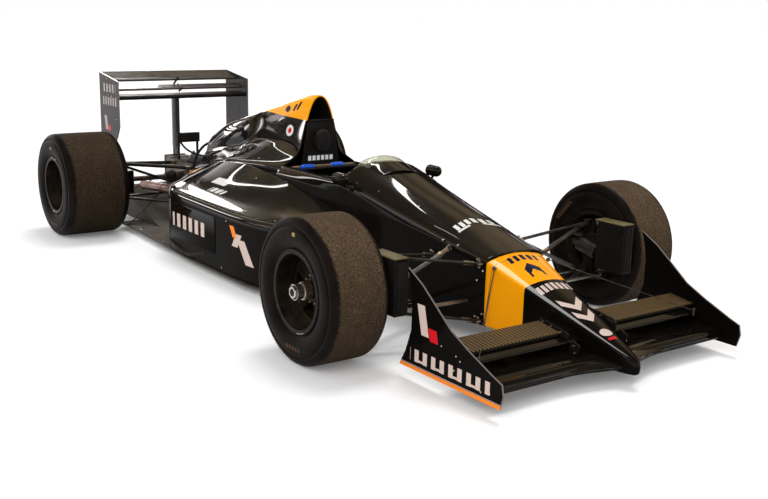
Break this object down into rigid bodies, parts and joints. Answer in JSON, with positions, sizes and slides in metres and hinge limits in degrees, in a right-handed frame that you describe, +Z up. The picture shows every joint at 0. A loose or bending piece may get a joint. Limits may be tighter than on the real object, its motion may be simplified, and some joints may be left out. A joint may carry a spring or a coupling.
{
  "type": "open wheel racing car",
  "caption": "Single-seat open wheel racing car with slick tyres, front and rear wings, side pods, an airbox, an open cockpit and steering that turns.",
  "frame": {"origin": "on the ground under the middle of the overall length, on the car's centre plane", "axes": "+X forward to the nose, +Y to the car's left, +Z up"},
  "size_m": [4.515, 2.08, 1.0073],
  "materials": {
    "body_black": "gloss black",
    "body_dark": "gloss black",
    "carbon": "bare woven carbon under lacquer",
    "floor_board": "matt carbon board",
    "wing_carbon": "satin carbon",
    "screen": "tinted clear",
    "upholstery": "cloth",
    "steel": "satin",
    "alloy": "machined",
    "rim": "gloss black",
    "tyre": "scuffed slick",
    "mirror": "gloss black housings",
    "exhaust": "heat tinted",
    "cast": "cast"
  },
  "bodies": {
    "car": {"tub": "body_black", "cowl": "body_black", "nose_cone": "body_black", "front_wing_main": "wing_carbon", "front_wing_flaps": "carbon", "engine_cover": "body_black", "headrest": "body_dark", "seat": "upholstery", "windscreen": "screen", "mirrors": "mirror", "radiators": "alloy", "floor": "floor_board", "engine": "cast", "gearbox": "cast", "exhausts": "exhaust", "rear_wing_main": "wing_carbon", "rear_wing_flaps": "wing_carbon", "rear_wing_post": "alloy", "rear_cooler": "alloy", "front_plate_left": "body_black", "side_pod_left": "body_black", "rear_plate_left": "wing_carbon", "front_suspension_left": "steel", "rear_suspension_left": "steel", "rear_upright_left": "alloy", "front_plate_right": "body_black", "side_pod_right": "body_black", "rear_plate_right": "wing_carbon", "front_suspension_right": "steel", "rear_suspension_right": "steel", "rear_upright_right": "alloy"},
    "knuckle_left": {"front_upright_left": "alloy"},
    "front_wheel_assembly_left": {"front_wheel_left": "rim", "front_tyre_left": "tyre"},
    "rear_wheel_assembly_left": {"rear_wheel_left": "rim", "rear_tyre_left": "tyre", "driveshaft_left": "steel"},
    "knuckle_right": {"front_upright_right": "alloy"},
    "front_wheel_assembly_right": {"front_wheel_right": "rim", "front_tyre_right": "tyre"},
    "rear_wheel_assembly_right": {"rear_wheel_right": "rim", "rear_tyre_right": "tyre", "driveshaft_right": "steel"},
    "rack": {"steering_rack": "steel"},
    "hand_wheel": {"steering_wheel": "upholstery"}
  },
  "joints": [
    {"name": "steer_left", "type": "hinge", "parent": "car", "child": "knuckle_left", "pos_m": [1.2675, 0.712, 0.3175], "axis": [0, 0, 1], "range_deg": [-16, 16]},
    {"name": "front_wheel_spin_left", "type": "hinge", "parent": "knuckle_left", "child": "front_wheel_assembly_left", "pos_m": [1.2675, 0.88, 0.3175], "axis": [0, 1, 0], "continuous": true},
    {"name": "rear_wheel_spin_left", "type": "hinge", "parent": "car", "child": "rear_wheel_assembly_left", "pos_m": [-1.7125, 0.835, 0.3275], "axis": [0, 1, 0], "continuous": true},
    {"name": "steer_right", "type": "hinge", "parent": "car", "child": "knuckle_right", "pos_m": [1.2675, -0.712, 0.3175], "axis": [0, 0, 1], "range_deg": [-16, 16]},
    {"name": "front_wheel_spin_right", "type": "hinge", "parent": "knuckle_right", "child": "front_wheel_assembly_right", "pos_m": [1.2675, -0.88, 0.3175], "axis": [0, 1, 0], "continuous": true},
    {"name": "rear_wheel_spin_right", "type": "hinge", "parent": "car", "child": "rear_wheel_assembly_right", "pos_m": [-1.7125, -0.835, 0.3275], "axis": [0, 1, 0], "continuous": true},
    {"name": "rack_slide", "type": "slide", "parent": "car", "child": "rack", "axis": [0, 1, 0], "range_m": [-0.0294, 0.0294]},
    {"name": "hand_wheel_turn", "type": "hinge", "parent": "car", "child": "hand_wheel", "pos_m": [0.3625, 0, 0.56], "axis": [-0.9397, 0, 0.342], "range_deg": [-160, 160]}
  ],
  "couplings": [
    {"joint": "steer_right", "follows": "steer_left", "ratio": 1},
    {"joint": "rack_slide", "follows": "steer_left", "m_per_rad": 0.105},
    {"joint": "hand_wheel_turn", "follows": "steer_left", "ratio": 10}
  ]
}
